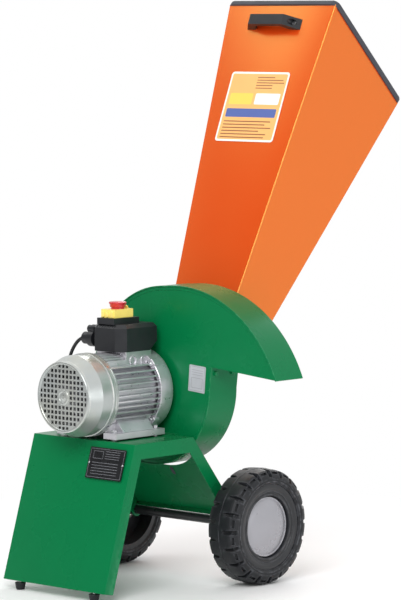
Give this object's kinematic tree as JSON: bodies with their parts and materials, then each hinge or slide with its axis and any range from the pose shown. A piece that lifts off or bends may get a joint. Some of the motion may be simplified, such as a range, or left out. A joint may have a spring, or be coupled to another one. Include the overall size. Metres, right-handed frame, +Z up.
{
  "type": "garden shredder",
  "caption": "Electric garden shredder on a folded sheet stand with two wheels: flanged motor, knife disc in a scroll casing, tall feed hopper and side discharge hood.",
  "frame": {"origin": "floor level, under the centre of the machine's box, cord left out", "axes": "+Z up, +X to the right along the axle, +Y from the motor fan towards the hopper"},
  "size_m": [0.6228, 0.8708, 1.2544],
  "materials": {
    "green_paint": "gloss powder coat",
    "orange_paint": "gloss powder coat",
    "trim_rubber": "matt",
    "tyre_rubber": "matt",
    "rim_plastic": "satin",
    "hubcap_plastic": "satin",
    "bush_plastic": "plain",
    "axle_black": "satin black",
    "cast_aluminium": "die cast",
    "plated_cowl": "zinc plated",
    "bright_steel": "zinc plated",
    "blade_steel": "ground",
    "core_steel": "laminated",
    "copper": "enamelled wire",
    "yellow_plastic": "satin",
    "red_plastic": "satin",
    "green_plastic": "satin",
    "lead_rubber": "satin"
  },
  "bodies": {
    "chassis": {"front_leg": "green_paint", "motor_shelf": "green_paint", "rear_leg": "green_paint", "rubber_feet": "trim_rubber", "stand_bolts": "bright_steel", "rating_plate": "axle_black", "axle": "axle_black", "axle_spacers": "bright_steel", "axle_retainers": "bright_steel", "motor_housing": "cast_aluminium", "drive_shield": "cast_aluminium", "fan_shield": "cast_aluminium", "motor_screws": "bright_steel", "fan_cowl": "plated_cowl", "stator_core": "core_steel", "windings": "copper", "motor_bearings": "bright_steel", "switch_box": "rim_plastic", "capacitor": "bush_plastic", "cable_glands": "rim_plastic", "switch_base": "rim_plastic", "hinge_pin": "bright_steel", "casing_wall": "green_paint", "discharge_hood": "green_paint", "casing_front": "green_paint", "casing_back": "green_paint", "hood_bolts": "green_paint", "anvil_blade": "blade_steel", "hopper_front": "orange_paint", "hopper_back": "orange_paint", "hopper_right": "orange_paint", "hopper_left": "orange_paint", "hopper_floor": "orange_paint", "hopper_flange": "orange_paint", "hopper_fasteners": "bright_steel", "edge_trim": "trim_rubber", "handle": "rim_plastic", "mains_lead": "lead_rubber", "lead_plug": "lead_rubber"},
    "cutting_rotor": {"cooling_fan": "rim_plastic", "rotor_core": "core_steel", "motor_shaft": "bright_steel", "cutter_hub": "bright_steel", "cutter_disc": "blade_steel", "knives_set": "blade_steel", "paddle_set": "blade_steel", "disc_bolt": "bright_steel"},
    "wheel_right": {"tyre_right": "tyre_rubber", "rim_right": "rim_plastic", "hubcap_right": "hubcap_plastic", "bush_right": "bush_plastic"},
    "wheel_left": {"tyre_left": "tyre_rubber", "rim_left": "rim_plastic", "hubcap_left": "hubcap_plastic", "bush_left": "bush_plastic"},
    "flap": {"switch_flap": "yellow_plastic"},
    "knob": {"stop_knob": "red_plastic"},
    "start": {"start_button": "green_plastic"},
    "stop": {"stop_button": "red_plastic"}
  },
  "joints": [
    {"name": "rotor_spin", "type": "hinge", "parent": "chassis", "child": "cutting_rotor", "pos_m": [-0.06143, -0.15451, 0.418], "axis": [0, 1, 0], "continuous": true},
    {"name": "wheel_right_roll", "type": "hinge", "parent": "chassis", "child": "wheel_right", "pos_m": [0.14857, -0.01828, 0.125], "axis": [1, 0, 0], "continuous": true},
    {"name": "wheel_left_roll", "type": "hinge", "parent": "chassis", "child": "wheel_left", "pos_m": [-0.27143, -0.01828, 0.125], "axis": [1, 0, 0], "continuous": true},
    {"name": "flap_open", "type": "hinge", "parent": "chassis", "child": "flap", "pos_m": [-0.06143, -0.20101, 0.586], "axis": [-1, 0, 0], "range_deg": [0, 100]},
    {"name": "knob_press", "type": "slide", "parent": "flap", "child": "knob", "axis": [0, 0, -1], "range_m": [0, 0.003], "stiffness_N_per_m": 400},
    {"name": "start_press", "type": "slide", "parent": "chassis", "child": "start", "axis": [0, 0, -1], "range_m": [0, 0.0025], "stiffness_N_per_m": 400},
    {"name": "stop_press", "type": "slide", "parent": "chassis", "child": "stop", "axis": [0, 0, -1], "range_m": [0, 0.003], "stiffness_N_per_m": 400}
  ],
  "couplings": [
    {"joint": "stop_press", "follows": "knob_press", "ratio": 1}
  ]
}
